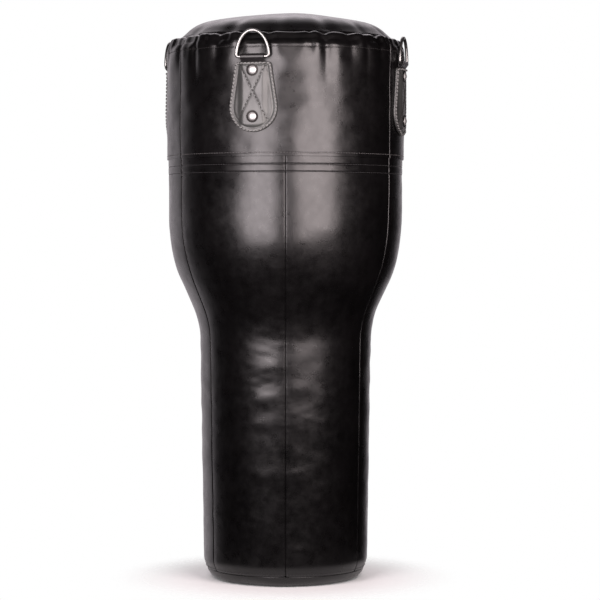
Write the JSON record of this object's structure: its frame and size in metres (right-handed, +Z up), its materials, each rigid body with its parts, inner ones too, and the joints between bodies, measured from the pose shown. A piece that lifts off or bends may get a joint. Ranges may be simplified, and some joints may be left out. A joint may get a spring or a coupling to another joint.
{
  "type": "heavy punching bag",
  "caption": "Uppercut heavy punching bag: wide drum over a slim barrel, sewn leather panels, domed top, dee rings on riveted tabs round the top edge.",
  "frame": {"origin": "centre of the bag's flat base", "axes": "+Z up along the bag's axis; the front dee ring faces -Y, the others face +X, +Y and -X"},
  "size_m": [0.4694, 0.4694, 1.067],
  "materials": {
    "black_skin": "satin",
    "tab_leather": "satin",
    "loop_leather": "satin",
    "ring_steel": "bright nickel",
    "rivet_steel": "polished",
    "washer_steel": "darkened",
    "foam": "open-cell foam",
    "canvas": "woven",
    "webbing": "woven",
    "cord": "braided",
    "filling": "shredded textile"
  },
  "bodies": {
    "bag": {"back_hanger_tab": "tab_leather", "back_ring_loop": "loop_leather", "back_rivet_burrs": "rivet_steel", "back_rivet_washers": "washer_steel", "back_rivets": "rivet_steel", "base_disc": "black_skin", "base_pad": "foam", "canvas_liner": "canvas", "collar_belt": "webbing", "foam_sleeve_lower": "foam", "foam_sleeve_neck": "foam", "foam_sleeve_upper": "foam", "front_hanger_tab": "tab_leather", "front_ring_loop": "loop_leather", "front_rivet_burrs": "rivet_steel", "front_rivet_washers": "washer_steel", "front_rivets": "rivet_steel", "hem_drawcord": "cord", "lap_tape": "webbing", "left_hanger_tab": "tab_leather", "left_ring_loop": "loop_leather", "left_rivet_burrs": "rivet_steel", "left_rivet_washers": "washer_steel", "left_rivets": "rivet_steel", "lower_panel_1": "black_skin", "lower_panel_2": "black_skin", "lower_panel_3": "black_skin", "lower_panel_4": "black_skin", "lower_panel_5": "black_skin", "lower_panel_6": "black_skin", "right_hanger_tab": "tab_leather", "right_ring_loop": "loop_leather", "right_rivet_burrs": "rivet_steel", "right_rivet_washers": "washer_steel", "right_rivets": "rivet_steel", "textile_fill": "filling", "top_cover": "black_skin", "top_pad": "foam", "upper_panel_1": "black_skin", "upper_panel_2": "black_skin", "upper_panel_3": "black_skin"},
    "front_ring": {"front_dee_ring": "ring_steel"},
    "right_ring": {"right_dee_ring": "ring_steel"},
    "back_ring": {"back_dee_ring": "ring_steel"},
    "left_ring": {"left_dee_ring": "ring_steel"}
  },
  "joints": [
    {"name": "front_ring_hinge", "type": "hinge", "parent": "bag", "child": "front_ring", "pos_m": [0, -0.2283, 0.9705], "axis": [1, 0, 0], "range_deg": [0, 160]},
    {"name": "right_ring_hinge", "type": "hinge", "parent": "bag", "child": "right_ring", "pos_m": [0.2283, 0, 0.9705], "axis": [0, 1, 0], "range_deg": [0, 160]},
    {"name": "back_ring_hinge", "type": "hinge", "parent": "bag", "child": "back_ring", "pos_m": [0, 0.2283, 0.9705], "axis": [-1, 0, 0], "range_deg": [0, 160]},
    {"name": "left_ring_hinge", "type": "hinge", "parent": "bag", "child": "left_ring", "pos_m": [-0.2283, 0, 0.9705], "axis": [0, -1, 0], "range_deg": [0, 160]}
  ]
}
